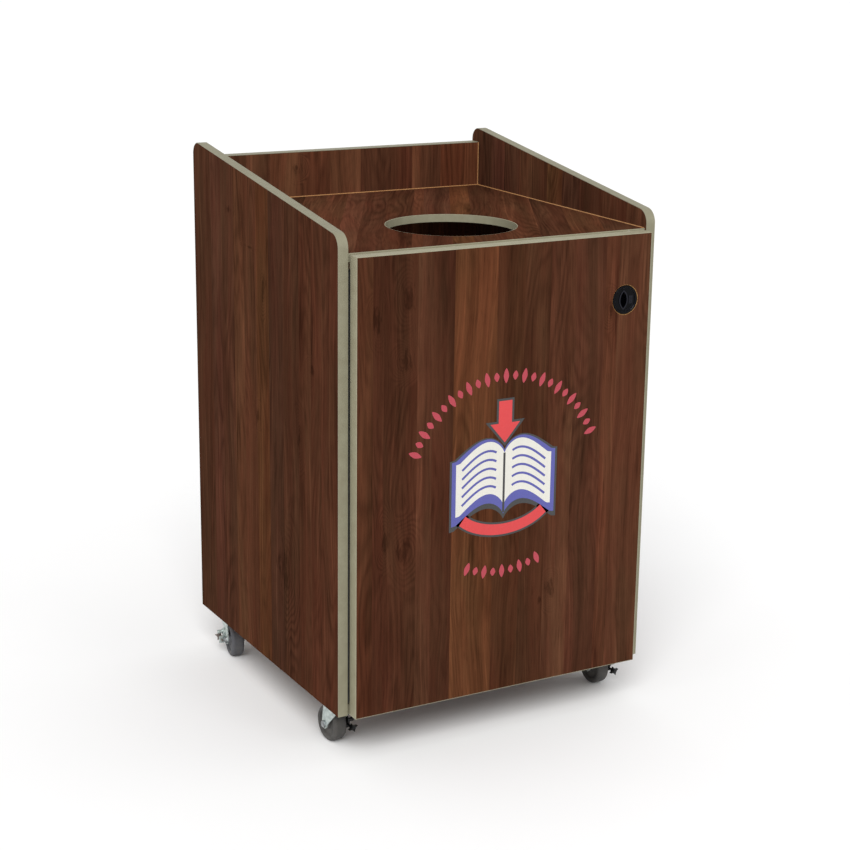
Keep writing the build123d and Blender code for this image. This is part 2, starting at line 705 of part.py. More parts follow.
kingpins = []
for tag, (cx, cy, heading) in castors.items():
    ux, uy = math.cos(math.radians(heading)), math.sin(math.radians(heading))
    vx, vy = -uy, ux                     # to the castor's left

    def level(h):
        """Horizontal plane on the swivel axis, X along the rolling direction."""
        return Plane(origin=(cx, cy, h), x_dir=(ux, uy, 0), z_dir=(0, 0, 1))

    def upright(v):
        """Plane parallel to the wheel, v to the left of it; extrude runs to the right."""
        return Plane(origin=(cx + v * vx, cy + v * vy, 0), x_dir=(ux, uy, 0), z_dir=(-vx, -vy, 0))

    def across(u):
        """Plane square to the rolling direction, u ahead of the swivel axis; extrude runs forward."""
        return Plane(origin=(cx + u * ux, cy + u * uy, 0), x_dir=(vx, vy, 0), z_dir=(ux, uy, 0))

    # top plate with its ball cup; it stands square to the cabinet
    with BuildPart() as castor_plate:
        with BuildSketch(Plane.XY.offset(z_base - plate_t)):
            with Locations((cx, cy)):
                RectangleRounded(plate, plate, 6.0)
            with Locations((cx, cy)):
                with GridLocations(2 * bolt_half, 2 * bolt_half, 2, 2):
                    Circle(2.7, mode=Mode.SUBTRACT)
        extrude(amount=plate_t)
        with BuildSketch(Plane.XY.offset(z_race + ball_r + 0.05)):
            with Locations((cx, cy)):
                Circle(17.5)
        extrude(amount=z_base - plate_t - z_race - ball_r - 0.05)
        with BuildSketch(Plane.XY.offset(69.2)):
            with Locations((cx, cy)):
                Circle(17.5)
                Circle(15.7, mode=Mode.SUBTRACT)
        extrude(amount=z_base - plate_t - 69.2)
        with BuildSketch(Plane.XY.offset(60.0)):
            with Locations((cx, cy)):
                Circle(5.0)
        extrude(amount=30.0, mode=Mode.SUBTRACT)
        with BuildSketch(Plane.XY.offset(z_base - 2.0)):
            with Locations((cx, cy)):
                Circle(8.1)
        extrude(amount=5.0, mode=Mode.SUBTRACT)
    finish_part(castor_plate, f"caster_{tag}_plate")

    # pressed fork: crown, race and two tapering cheeks
    with BuildPart() as fork:
        with BuildSketch(level(z_crown)):
            with Locations((-5.0, 0)):
                Rectangle(40.0, 2 * (cheek_in + cheek_t))
            Circle(16.5)
        extrude(amount=2.0)
        with BuildSketch(level(z_crown + 2.0)):
            Circle(14.6)
        extrude(amount=z_race - ball_r - 0.05 - z_crown - 2.0)
        for v0 in (cheek_in + cheek_t, -cheek_in):
            with BuildSketch(upright(v0)):
                with BuildLine():
                    Polyline((15.0, z_crown + 2.0), (-25.0, z_crown + 2.0), (-30.5, 33.0),
                             (-22.0, 21.5), (-14.5, 27.5), (-12.0, 33.5), (15.0, z_crown - 4.0),
                             close=True)
                make_face()
            extrude(amount=cheek_t)
        fillet(fork.edges().filter_by(Axis((0, 0, 0), (vx, vy, 0)))
               .filter_by(lambda e: e.center().Z < 35.0), radius=3.0)
        with BuildSketch(level(50.0)):
            Circle(5.0)
        extrude(amount=30.0, mode=Mode.SUBTRACT)
        with BuildSketch(upright(30.0)):
            with Locations((-trail, wheel_r)):
                Circle(axle_r + 0.02)
        extrude(amount=60.0, mode=Mode.SUBTRACT)
    finish_part(fork, f"caster_{tag}_fork")

    # moulded wheel: rounded tread, dished web, long hub
    with BuildPart() as wheel:
        wp = Plane(origin=(cx - trail * ux, cy - trail * uy, wheel_r), x_dir=(vx, vy, 0),
                   z_dir=(ux, uy, 0))
        with BuildSketch(wp) as half:
            with BuildLine():
                hw = wheel_w / 2
                Polyline((-hub_half, axle_bore), (hub_half, axle_bore), (hub_half, 9.0), (9.0, 10.5),
                         (8.0, 21.0), (hw - 0.6, 23.5), (hw, 27.0))
                ThreePointArc((hw, 27.0), (hw - 1.6, 30.3), (hw - 5.5, wheel_r))
                Line((hw - 5.5, wheel_r), (-hw + 5.5, wheel_r))
                ThreePointArc((-hw + 5.5, wheel_r), (-hw + 1.6, 30.3), (-hw, 27.0))
                Polyline((-hw, 27.0), (-hw + 0.6, 23.5), (-8.0, 21.0), (-9.0, 10.5),
                         (-hub_half, 9.0), (-hub_half, axle_bore))
            make_face()
        revolve(axis=Axis((cx - trail * ux, cy - trail * uy, wheel_r), (vx, vy, 0)),
                revolution_arc=360)
    finish_part(wheel, f"caster_{tag}_wheel")

    # axle bolt with head, and its nut on the left
    with BuildPart() as axle:
        with BuildSketch(upright(-(cheek_in + cheek_t))):
            with Locations((-trail, wheel_r)):
                RegularPolygon(6.6, 6)
        extrude(amount=3.4)
        with BuildSketch(upright(cheek_in + cheek_t + 4.6)):
            with Locations((-trail, wheel_r)):
                Circle(axle_r)
        extrude(amount=2 * (cheek_in + cheek_t) + 4.6 + 0.5)
        with BuildSketch(upright(cheek_in + cheek_t + 3.8)):
            with Locations((-trail, wheel_r)):
                RegularPolygon(6.6, 6)
        extrude(amount=3.8)
    finish_part(axle, f"caster_{tag}_axle")

    # brake bracket on the left cheek: side plate, cross boss and a forward-facing ear
    with BuildPart() as bracket:
        with BuildSketch(upright(cheek_in + cheek_t + 2.5)):
            with BuildLine():
                Polyline((-14.0, 50.0), (-4.0, 50.0), (6.0, 44.0), (6.0, 36.5), (-3.0, 33.0),
                         (-6.0, 21.5), (-10.5, 21.5), (-10.5, 40.0), (-14.0, 42.5), close=True)
            make_face()
        extrude(amount=2.5)
        with BuildSketch(upright(cheek_in + cheek_t + 12.0)):
            with Locations((2.0, boss_z)):
                Circle(3.6)
        extrude(amount=12.0)
        with BuildSketch(across(-10.0)):
            with BuildLine():
                Polyline((cheek_in + cheek_t, 21.5), (knob_lat + 5.0, 21.5), (knob_lat + 5.0, 34.0),
                         (cheek_in + cheek_t, 36.0), close=True)
            make_face()
        extrude(amount=3.2)
        with BuildSketch(across(-12.0)):
            with Locations((knob_lat, knob_z)):
                Circle(2.06)
        extrude(amount=20.0, mode=Mode.SUBTRACT)
    finish_part(bracket, f"caster_{tag}_brake_bracket")

    # brake screw with a four-point star knob
    with BuildPart() as knob:
        with BuildSketch(across(8.0)):
            with BuildLine():
                p = [(knob_lat + 8.8 * math.cos(math.radians(a)), knob_z + 8.8 * math.sin(math.radians(a)))
                     for a in (20, 110, 200, 290)]
                q = [(knob_lat + 4.3 * math.cos(math.radians(a)), knob_z + 4.3 * math.sin(math.radians(a)))
                     for a in (65, 155, 245, 335)]
                for i in range(4):
                    ThreePointArc(p[i], q[i], p[(i + 1) % 4])
            make_face()
        extrude(amount=6.0)
        with BuildSketch(across(14.0)):
            with Locations((knob_lat, knob_z)):
                Circle(3.4)
        extrude(amount=1.2)
        with BuildSketch(across(4.5)):
            with Locations((knob_lat, knob_z)):
                Circle(3.4)
        extrude(amount=3.5)
        with BuildSketch(across(-14.0)):
            with Locations((knob_lat, knob_z)):
                Circle(2.0)
        extrude(amount=19.0)
    finish_part(knob, f"caster_{tag}_brake_knob")

# rivets that hold each fork to its plate
with BuildPart() as caster_kingpins:
    pts = [(c[0], c[1]) for c in castors.values()]
    with BuildSketch(Plane.XY.offset(z_crown - 3.1)):
        with Locations(*pts):
            Circle(8.0)
    extrude(amount=3.0)
    fillet(caster_kingpins.edges().filter_by(GeomType.CIRCLE).group_by(Axis.Z)[0], radius=1.4)
    with BuildSketch(Plane.XY.offset(z_crown - 0.1)):
        with Locations(*pts):
            Circle(4.95)
    extrude(amount=z_base - 1.9 - z_crown + 0.1)
    with BuildSketch(Plane.XY.offset(z_base - 1.9)):
        with Locations(*pts):
            Circle(8.0)
    extrude(amount=1.8)
finish_part(caster_kingpins, "caster_kingpins")

# bearing balls of the four swivels
with BuildPart() as caster_balls:
    for cx, cy, head in castors.values():
        for i in range(n_balls):
            a = 2 * math.pi * i / n_balls
            with Locations((cx + ring_r * math.cos(a), cy + ring_r * math.sin(a), z_race)):
                Sphere(ball_r)
finish_part(caster_balls, "caster_balls")

# screws that hold the castor plates
with BuildPart() as caster_screws:
    pts = [(c[0] + i * bolt_half, c[1] + j * bolt_half)
           for c in castors.values() for i in (-1, 1) for j in (-1, 1)]
    with BuildSketch(Plane.XY.offset(z_base - plate_t)):
        with Locations(*pts):
            Circle(4.4)
    extrude(amount=-2.6)
    fillet(caster_screws.edges().filter_by(GeomType.CIRCLE).group_by(Axis.Z)[0], radius=1.6)
    with BuildSketch(Plane.XY.offset(z_base - plate_t)):
        with Locations(*pts):
            Circle(2.4)
    extrude(amount=plate_t + 16.0)
    with BuildSketch(Plane.XY.offset(z_base - plate_t - 2.6)):
        with Locations(*pts):
            Rectangle(4.6, 1.0)
            Rectangle(1.0, 4.6)
    extrude(amount=1.4, mode=Mode.SUBTRACT)
finish_part(caster_screws, "caster_screws")
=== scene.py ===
import json
import math
import random

import bmesh
import bpy
from mathutils import Matrix, Vector
from mathutils.geometry import tessellate_polygon


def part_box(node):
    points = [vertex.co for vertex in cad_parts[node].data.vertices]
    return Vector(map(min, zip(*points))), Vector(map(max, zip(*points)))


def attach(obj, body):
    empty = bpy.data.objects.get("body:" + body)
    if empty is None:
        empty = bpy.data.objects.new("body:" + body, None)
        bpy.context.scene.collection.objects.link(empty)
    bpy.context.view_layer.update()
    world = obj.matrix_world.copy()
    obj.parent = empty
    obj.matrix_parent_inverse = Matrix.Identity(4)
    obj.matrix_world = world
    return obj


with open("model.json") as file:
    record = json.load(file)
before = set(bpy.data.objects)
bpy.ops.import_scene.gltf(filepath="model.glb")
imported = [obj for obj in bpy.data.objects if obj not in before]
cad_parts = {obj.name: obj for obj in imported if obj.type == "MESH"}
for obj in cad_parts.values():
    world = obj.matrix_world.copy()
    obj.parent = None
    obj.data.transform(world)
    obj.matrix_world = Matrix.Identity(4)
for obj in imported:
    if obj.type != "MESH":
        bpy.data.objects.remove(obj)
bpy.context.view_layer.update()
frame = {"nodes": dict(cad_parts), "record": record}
nodes = frame["nodes"]
scene = bpy.context.scene


# ------------------------------------------------------------------ camera
def make_camera():
    cam_data = bpy.data.cameras.new("camera")
    cam = bpy.data.objects.new("camera", cam_data)
    scene.collection.objects.link(cam)
    right = Vector((0.8745579, -0.4847545, 0.0127097))
    down = Vector((-0.1190622, -0.2400631, -0.9634282))
    ahead = Vector((0.4700773, 0.8410605, -0.267665))
    rot = Matrix((right, -down, -ahead)).transposed()
    cam.matrix_world = Matrix.Translation((-1.593844, -2.891459, 1.402712)) @ rot.to_4x4()
    cam_data.sensor_fit = "HORIZONTAL"
    cam_data.sensor_width = 36.0
    cam_data.lens = 1866.93 * 36.0 / 850.0
    cam_data.shift_x = -(428.265 - 425.0) / 850.0
    cam_data.shift_y = (423.764 - 425.0) / 850.0
    cam_data.clip_start = 0.05
    cam_data.clip_end = 50.0
    scene.camera = cam


make_camera()
scene.view_settings.view_transform = "Standard"
scene.view_settings.look = "None"
scene.view_settings.exposure = 0.0
scene.view_settings.gamma = 1.0


# ------------------------------------------------------------------ node helpers
def srgb(r, g, b):
    """sRGB 0..255 to linear."""
    out = []
    for c in (r, g, b):
        c /= 255.0
        out.append(c / 12.92 if c <= 0.04045 else ((c + 0.055) / 1.055) ** 2.4)
    return tuple(out)


class Graph:
    """Small helper that builds a material's node graph."""

    def __init__(self, name):
        self.mat = bpy.data.materials.new(name)
        self.mat.use_nodes = True
        self.nt = self.mat.node_tree
        self.nt.nodes.clear()
        self.out = self.nt.nodes.new("ShaderNodeOutputMaterial")
        self.bsdf = self.nt.nodes.new("ShaderNodeBsdfPrincipled")
        self.nt.links.new(self.bsdf.outputs["BSDF"], self.out.inputs["Surface"])
        self.tc = None

    def new(self, kind, **props):
        n = self.nt.nodes.new(kind)
        for k, v in props.items():
            setattr(n, k, v)
        return n

    def put(self, sock, value):
        """Links a socket or sets a value."""
        if hasattr(value, "is_output"):
            self.nt.links.new(value, sock)
        else:
            if hasattr(sock.default_value, "__len__") and not isinstance(value, (int, float)):
                value = tuple(value)
                if len(sock.default_value) == 4 and len(value) == 3:
                    value = value + (1.0,)
            sock.default_value = value

    def math(self, op, a, b=0.0, c=0.0, clamp=False):
        n = self.new("ShaderNodeMath", operation=op, use_clamp=clamp)
        self.put(n.inputs[0], a)
        self.put(n.inputs[1], b)
        if op in ("MULTIPLY_ADD", "SMOOTH_MIN", "SMOOTH_MAX", "COMPARE"):
            self.put(n.inputs[2], c)
        return n.outputs[0]

    def add(self, a, b):
        return self.math("ADD", a, b)

    def mul(self, a, b):
        return self.math("MULTIPLY", a, b)

    def remap(self, v, lo, hi, to_lo=0.0, to_hi=1.0, smooth=False):
        n = self.new("ShaderNodeMapRange", clamp=True)
        n.interpolation_type = "SMOOTHSTEP" if smooth else "LINEAR"
        self.put(n.inputs["Value"], v)
        self.put(n.inputs["From Min"], lo)
        self.put(n.inputs["From Max"], hi)
        self.put(n.inputs["To Min"], to_lo)
        self.put(n.inputs["To Max"], to_hi)
        return n.outputs["Result"]

    def coords(self):
        if self.tc is None:
            self.tc = self.new("ShaderNodeTexCoord")
        return self.tc

    def xyz(self, vec):
        n = self.new("ShaderNodeSeparateXYZ")
        self.put(n.inputs[0], vec)
        return n.outputs["X"], n.outputs["Y"], n.outputs["Z"]

    def vec(self, x, y, z):
        n = self.new("ShaderNodeCombineXYZ")
        self.put(n.inputs[0], x)
        self.put(n.inputs[1], y)
        self.put(n.inputs[2], z)
        return n.outputs[0]

    def noise(self, vector, scale=1.0, detail=2.0, rough=0.5, distort=0.0):
        n = self.new("ShaderNodeTexNoise")
        self.put(n.inputs["Vector"], vector)
        self.put(n.inputs["Scale"], scale)
        self.put(n.inputs["Detail"], detail)
        self.put(n.inputs["Roughness"], rough)
        self.put(n.inputs["Distortion"], distort)
        return n.outputs["Fac"]

    def voronoi(self, vector, scale=1.0, feature="F1", rand=1.0):
        n = self.new("ShaderNodeTexVoronoi", feature=feature)
        self.put(n.inputs["Vector"], vector)
        self.put(n.inputs["Scale"], scale)
        self.put(n.inputs["Randomness"], rand)
        return n

    def ramp(self, fac, stops, mode="LINEAR"):
        n = self.new("ShaderNodeValToRGB")
        n.color_ramp.interpolation = mode
        el = n.color_ramp.elements
        while len(el) > 1:
            el.remove(el[0])
        el[0].position = stops[0][0]
        el[0].color = tuple(stops[0][1]) + (1.0,)
        for p, c in stops[1:]:
            e = el.new(p)
            e.color = tuple(c) + (1.0,)
        self.put(n.inputs["Fac"], fac)
        return n.outputs["Color"]

    def mix(self, fac, a, b, blend="MIX"):
        n = self.new("ShaderNodeMix", data_type="RGBA", blend_type=blend)
        self.put(n.inputs[0], fac)
        self.put(n.inputs[6], a)
        self.put(n.inputs[7], b)
        return n.outputs[2]

    def scale(self, colour, factor):
        n = self.new("ShaderNodeVectorMath", operation="SCALE")
        self.put(n.inputs[0], colour)
        self.put(n.inputs["Scale"], factor)
        return n.outputs[0]

    def bump(self, height, strength=0.3, distance=0.0002):
        n = self.new("ShaderNodeBump")
        self.put(n.inputs["Height"], height)
        n.inputs["Strength"].default_value = strength
        n.inputs["Distance"].default_value = distance
        self.put(self.bsdf.inputs["Normal"], n.outputs["Normal"])

    def set(self, **kw):
        for k, v in kw.items():
            self.put(self.bsdf.inputs[k.replace("_", " ")], v)


# ------------------------------------------------------------------ walnut laminate
LIGHT = 1.18      # how much brighter than its colour the studio light renders a flat face


def seen(r, g, b, k=1.0):
    """Base colour that reads as the given sRGB value under the studio light."""
    return tuple(c * k / LIGHT for c in srgb(r, g, b))


def chip_colour(g, obj_vec):
    """Colour of the raw particle board that shows on an unbanded edge."""
    chips = g.voronoi(obj_vec, 420.0)
    tone = g.noise(obj_vec, 900.0, 3.0, 0.6)
    f = g.math("MULTIPLY_ADD", chips.outputs["Distance"], 0.8, g.mul(tone, 0.6))
    return g.ramp(f, [(0.25, seen(128, 88, 50)), (0.5, seen(170, 122, 72)), (0.8, seen(200, 156, 100))])


def walnut(name, across, along, thick, lo, hi, planks, seed, gain=1.0, burls=(), turn=0.0):
    """Printed walnut laminate: staves of differing tone run along one axis, each with its own
    streaks, ring figure, fine grain, pores, dark mineral patches and knots.
    across, along, thick: axis index of the object's coordinates. lo, hi: extent across, in metres.
    planks: (start, colour) from 0 to 1 across. burls: (across, along, size, aspect) of dark knots.
    turn: angle of the grain off the along axis, in radians."""
    g = Graph(name)
    c = g.coords().outputs["Object"]
    ax = g.xyz(c)
    u, v = ax[across], ax[along]
    if turn:
        cs, sn = math.cos(turn), math.sin(turn)
        u, v = (g.math("MULTIPLY_ADD", u, cs, g.mul(v, -sn)), g.math("MULTIPLY_ADD", v, cs, g.mul(u, sn)))
    t = g.remap(u, lo, hi)
    plank_col = g.ramp(t, planks, "CONSTANT")
    rnd = random.Random(seed)
    offs = g.ramp(t, [(p, (rnd.random(),) * 3) for p, _ in planks], "CONSTANT")
    off = g.math("MULTIPLY_ADD", offs, 60.0, seed * 7.3)

    # slow sideways wander of the grain
    wander = g.noise(g.vec(g.mul(u, 2.4), g.mul(v, 1.9), off), 1.0, 2.0, 0.5)
    uw = g.math("MULTIPLY_ADD", g.math("SUBTRACT", wander, 0.5), 0.060, u)
    # knots push the grain aside and darken their core
    swirl, core = None, None
    cloud = g.noise(g.vec(g.mul(uw, 15.0), g.mul(v, 4.2), g.add(off, 9.0)), 1.0, 4.0, 0.6)
    ragged = g.noise(g.vec(g.mul(uw, 120.0), g.mul(v, 26.0), g.add(off, 3.0)), 1.0, 4.0, 0.7)
    for bu, bv, bs, asp in burls:
        du = g.math("SUBTRACT", u, bu)
        dv = g.mul(g.math("SUBTRACT", v, bv), 1.0 / asp)
        d = g.math("SQRT", g.add(g.mul(du, du), g.mul(dv, dv)))
        sw = g.remap(d, 0.0, bs * 3.0, 0.30, 0.0, smooth=True)
        d2 = g.math("MULTIPLY_ADD", g.math("SUBTRACT", ragged, 0.5), bs * 5.0, d)
        k = g.remap(d2, bs * 0.1, bs * 1.15, 1.0, 0.0, smooth=True)
        swirl = sw if swirl is None else g.math("MAXIMUM", swirl, sw)
        core = k if core is None else g.math("MAXIMUM", core, k)

    # ring field: contour lines of a field stretched along the grain make the cathedral figure
    field = g.noise(g.vec(g.mul(uw, 10.0), g.mul(v, 1.3), off), 1.0, 2.0, 0.45)
    if swirl is not None:
        field = g.add(field, swirl)
    jitter = g.noise(g.vec(g.mul(uw, 90.0), g.mul(v, 9.0), off), 1.0, 2.0, 0.5)
    rings = g.math("SINE", g.math("MULTIPLY_ADD", jitter, 2.4, g.mul(field, 170.0)))
    rings = g.math("POWER", g.math("MULTIPLY_ADD", rings, 0.5, 0.5), 1.5)
    fade = g.noise(g.vec(g.mul(uw, 9.0), g.mul(v, 2.6), g.add(off, 5.0)), 1.0, 2.0, 0.5)
    rings = g.mul(rings, g.remap(fade, 0.42, 0.66, 0.10, 1.0))

    streak = g.noise(g.vec(g.mul(uw, 40.0), g.mul(v, 0.85), off), 1.0, 5.0, 0.64)
    fine = g.noise(g.vec(g.mul(uw, 300.0), g.mul(v, 6.0), off), 1.0, 3.0, 0.6)
    pores = g.noise(g.vec(g.mul(uw, 900.0), g.mul(v, 30.0), off), 1.0, 1.0, 0.5)
    pores = g.remap(pores, 0.58, 0.72)
    mineral = g.noise(g.vec(g.mul(uw, 26.0), g.mul(v, 3.6), g.add(off, 21.0)), 1.0, 4.0, 0.6)
    mineral = g.remap(mineral, 0.57, 0.76, smooth=True)
    thread = g.noise(g.vec(g.mul(uw, 19.0), g.mul(v, 0.40), g.add(off, 33.0)), 1.0, 2.0, 0.5)
    thread = g.remap(g.math("ABSOLUTE", g.math("SUBTRACT", thread, 0.5)), 0.0, 0.013, 1.0, 0.0, smooth=True)

    tone = g.math("MULTIPLY_ADD", streak, 1.45, 0.275)
    tone = g.mul(tone, g.math("MULTIPLY_ADD", fine, 0.85, 0.575))
    tone = g.mul(tone, g.math("MULTIPLY_ADD", cloud, 0.95, 0.525))
    tone = g.mul(tone, g.math("MULTIPLY_ADD", rings, -0.34, 1.07))
    tone = g.mul(tone, g.math("MULTIPLY_ADD", mineral, -0.50, 1.06))
    tone = g.mul(tone, g.math("MULTIPLY_ADD", thread, 0.30, 1.0))
    tone = g.mul(tone, g.math("MULTIPLY_ADD", pores, -0.28, 1.02))
    if core is not None:
        tone = g.mul(tone, g.math("MULTIPLY_ADD", core, -0.42, 1.0))
    # gain scales the whole panel's colour; the panels below use it as painted light and shade
    tone = g.mul(tone, gain)
    warm = g.noise(g.vec(g.mul(uw, 22.0), g.mul(v, 3.0), g.add(off, 47.0)), 1.0, 3.0, 0.6)
    hue = g.mix(g.remap(warm, 0.36, 0.64), (1.05, 0.94, 0.90), (0.98, 1.06, 0.98))
    col = g.scale(g.mix(1.0, plank_col, hue, "MULTIPLY"), tone)

    # board edges that the laminate doesn't cover are raw particle board
    nrm = g.xyz(g.coords().outputs["Normal"])[thick]
    raw = g.remap(g.math("ABSOLUTE", nrm), 0.80, 0.90, 1.0, 0.0)
    col = g.mix(raw, col, chip_colour(g, c))
    rough = g.math("MULTIPLY_ADD", fine, 0.18, 0.44)
    g.set(Base_Color=col, Roughness=g.math("MULTIPLY_ADD", pores, 0.12, rough))
    g.bsdf.inputs["Specular IOR Level"].default_value = 0.0
    g.bump(g.math("MULTIPLY_ADD", pores, -0.9, g.mul(fine, 0.6)), 0.25, 0.00015)
    return g.mat


def axis_extent(node, axis):
    lo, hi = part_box(node)
    return lo[axis], hi[axis]


def planks_from(*items):
    return [(p, seen(*c)) for p, c in items]


door_planks = planks_from((0.0, (83, 50, 35)), (0.048, (71, 42, 30)), (0.083, (71, 42, 30)), (0.192, (83, 52, 38)),
                          (0.245, (72, 43, 31)), (0.316, (91, 56, 37)), (0.460, (75, 45, 31)), (0.551, (72, 44, 31)),
                          (0.643, (84, 52, 38)), (0.733, (76, 46, 34)), (0.839, (83, 50, 36)), (0.884, (82, 51, 37)))
side_planks = planks_from((0.0, (80, 48, 35)), (0.101, (78, 47, 34)), (0.165, (76, 46, 33)), (0.243, (71, 44, 32)),
                          (0.351, (70, 44, 33)), (0.449, (80, 50, 33)), (0.535, (79, 49, 35)), (0.623, (83, 52, 37)),
                          (0.698, (75, 47, 35)), (0.791, (78, 48, 37)), (0.870, (72, 45, 33)))
back_planks = planks_from((0.0, (78, 48, 34)), (0.129, (84, 54, 39)), (0.217, (88, 54, 38)), (0.324, (81, 48, 34)),
                          (0.433, (85, 51, 36)), (0.544, (73, 43, 31)), (0.657, (74, 42, 30)), (0.741, (86, 51, 36)),
                          (0.772, (80, 47, 34)), (0.850, (87, 50, 34)))
deck_planks = planks_from((0.0, (80, 49, 35)), (0.10, (74, 45, 32)), (0.22, (84, 52, 37)), (0.322, (88, 54, 40)),
                          (0.365, (80, 48, 35)), (0.4205, (76, 45, 32)), (0.482, (87, 52, 37)), (0.505, (77, 46, 34)),
                          (0.568, (88, 54, 35)), (0.615, (79, 48, 34)), (0.686, (84, 51, 36)), (0.759, (75, 46, 33)),
                          (0.832, (86, 53, 37)), (0.906, (78, 48, 35)))

# knots and dark patches: (across, along, size, aspect)
DOOR_BURLS = ((-0.187, 0.795, 0.012, 2.2), (-0.245, 0.761, 0.009, 2.4), (-0.193, 0.690, 0.012, 1.3),
              (-0.192, 0.364, 0.014, 2.0), (-0.228, 0.391, 0.008, 3.0), (0.099, 0.247, 0.012, 1.4),
              (0.078, 0.232, 0.007, 1.2), (0.205, 0.742, 0.009, 1.8))
LEFT_BURLS = ((0.061, 0.8265, 0.016, 0.16), (0.000, 0.765, 0.013, 1.7), (-0.190, 0.661, 0.011, 0.9),
              (-0.073, 0.280, 0.022, 2.2), (0.031, 0.531, 0.008, 1.5), (-0.142, 0.530, 0.010, 2.6),
              (0.150, 0.880, 0.010, 0.5))
dl, dh = axis_extent("door_panel", 0)
sl, sh = axis_extent("side_panel_left", 1)
bl, bh = axis_extent("back_panel", 0)

# Gains are painted light and shade: the door is darkened because it faces the lamps, and the right side and the back
# are lightened to offset the shade they stand in.
m_door = walnut("walnut_door", 0, 2, 1, dl, dh, door_planks, 3, gain=0.86, burls=DOOR_BURLS)
m_left = walnut("walnut_side_left", 1, 2, 0, sl, sh, side_planks, 5, gain=1.0, burls=LEFT_BURLS)
m_right = walnut("walnut_side_right", 1, 2, 0, sl, sh, side_planks, 8, gain=1.30, burls=((sl + 0.20, 0.50, 0.02, 2.0), (sl + 0.42, 0.33, 0.016, 1.5)))
m_back = walnut("walnut_back", 0, 2, 1, bl, bh, back_planks, 11, gain=1.30,
                burls=((bl + 0.180, 0.925, 0.010, 1.2), (bl + 0.350, 0.38, 0.020, 2.0), (bl + 0.45, 0.62, 0.016, 1.6)))
m_deck = walnut("walnut_deck", 0, 1, 2, -0.39, 0.39, deck_planks, 14, turn=math.radians(29.0))
m_bottom = walnut("walnut_bottom", 0, 1, 2, bl, bh, deck_planks, 17)


# ------------------------------------------------------------------ other finishes
def banding(name, k=1.0):
    """Sage PVC edge banding: extruded lines and a faint mottle."""
    g = Graph(name)
    c = g.coords().outputs["Object"]
    mott = g.noise(c, 55.0, 4.0, 0.6)
    speck = g.noise(c, 900.0, 2.0, 0.6)
    lines = g.noise(g.vec(*[g.mul(a, s) for a, s in zip(g.xyz(c), (1500.0, 30.0, 6.0))]), 1.0, 1.0, 0.5)
    # k scales the whole colour; the copies with k above 1 are painted light for banding that sits in shade
    base = g.ramp(mott, [(0.30, seen(138, 133, 111, k)), (0.55, seen(143, 139, 117, k)), (0.75, seen(148, 144, 122, k))])
    tone = g.math("MULTIPLY_ADD", speck, 0.10, 0.95)
    tone = g.mul(tone, g.math("MULTIPLY_ADD", lines, 0.06, 0.97))
    g.set(Base_Color=g.scale(base, tone), Roughness=g.math("MULTIPLY_ADD", speck, 0.15, 0.42))
    g.bsdf.inputs["Specular IOR Level"].default_value = 0.22
    g.bump(g.add(g.mul(speck, 0.5), g.mul(lines, 0.5)), 0.15, 0.0001)
    return g.mat


def raw_edge():
    """Raw board edge and glue line, golden."""
    g = Graph("raw_board_line")
    c = g.coords().outputs["Object"]
    n = g.noise(c, 500.0, 3.0, 0.6)
    col = g.ramp(n, [(0.3, seen(150, 100, 55)), (0.5, seen(178, 126, 74)), (0.75, seen(198, 150, 96))])
    g.set(Base_Color=col, Roughness=g.math("MULTIPLY_ADD", n, 0.2, 0.6))
    g.bump(n, 0.3, 0.0001)
    return g.mat


def metal(name, dark, light, rough, metallic=1.0, spangle=180.0, wear=None):
    g = Graph(name)
    c = g.coords().outputs["Object"]
    sp = g.voronoi(c, spangle)
    cl = g.noise(c, 60.0, 3.0, 0.6)
    f = g.math("MULTIPLY_ADD", sp.outputs["Distance"], 0.5, g.mul(cl, 0.6))
    col = g.mix(g.remap(f, 0.25, 0.75), dark, light)
    sc = g.noise(c, 1400.0, 2.0, 0.6)
    r = g.math("MULTIPLY_ADD", cl, 0.25, rough - 0.12)
    g.set(Base_Color=col, Roughness=g.math("MULTIPLY_ADD", sc, 0.08, r))
    g.bsdf.inputs["Metallic"].default_value = metallic
    g.bump(sc, 0.12, 0.00008)
    return g.mat


def plastic(name, dark, light, rough, scale=700.0, bump=0.2, spec=0.5):
    g = Graph(name)
    c = g.coords().outputs["Object"]
    gr = g.noise(c, scale, 2.0, 0.55)
    cl = g.noise(c, 28.0, 3.0, 0.6)
    col = g.mix(g.remap(g.math("MULTIPLY_ADD", cl, 0.7, g.mul(gr, 0.3)), 0.35, 0.65), dark, light)
    g.set(Base_Color=col, Roughness=g.math("MULTIPLY_ADD", gr, 0.16, g.math("MULTIPLY_ADD", cl, 0.08, rough - 0.12)))
    g.bsdf.inputs["Specular IOR Level"].default_value = spec
    g.bump(gr, bump, 0.00012)
    return g.mat


def latch_black():
    """Glossy black moulding with a painted highlight: a paler colour on its raised lips and ribs."""
    g = Graph("latch_black")
    c = g.coords().outputs["Object"]
    gr = g.noise(c, 900.0, 2.0, 0.55)
    y0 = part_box("latch_cup")[0][1]
    # painted highlight: a paler colour on the rotor's raised lips and ribs, picked by their depth behind the cup's
    # front; the cup rim stays black
    lip_highlight = g.remap(g.xyz(c)[1], y0 + 0.0017, y0 + 0.0011, 0.0, 1.0)
    lip_highlight = g.mul(lip_highlight, g.remap(g.xyz(c)[1], y0 + 0.0004, y0 + 0.0009, 0.0, 1.0))
    lip_highlight = g.mul(lip_highlight, g.math("MULTIPLY_ADD", gr, 0.8, 0.6))
    g.set(Base_Color=g.mix(lip_highlight, seen(4, 4, 7), seen(34, 34, 41)), Roughness=g.math("MULTIPLY_ADD", gr, 0.14, 0.12))
    g.bsdf.inputs["Specular IOR Level"].default_value = 0.09
    g.bump(gr, 0.08, 0.00012)
    return g.mat


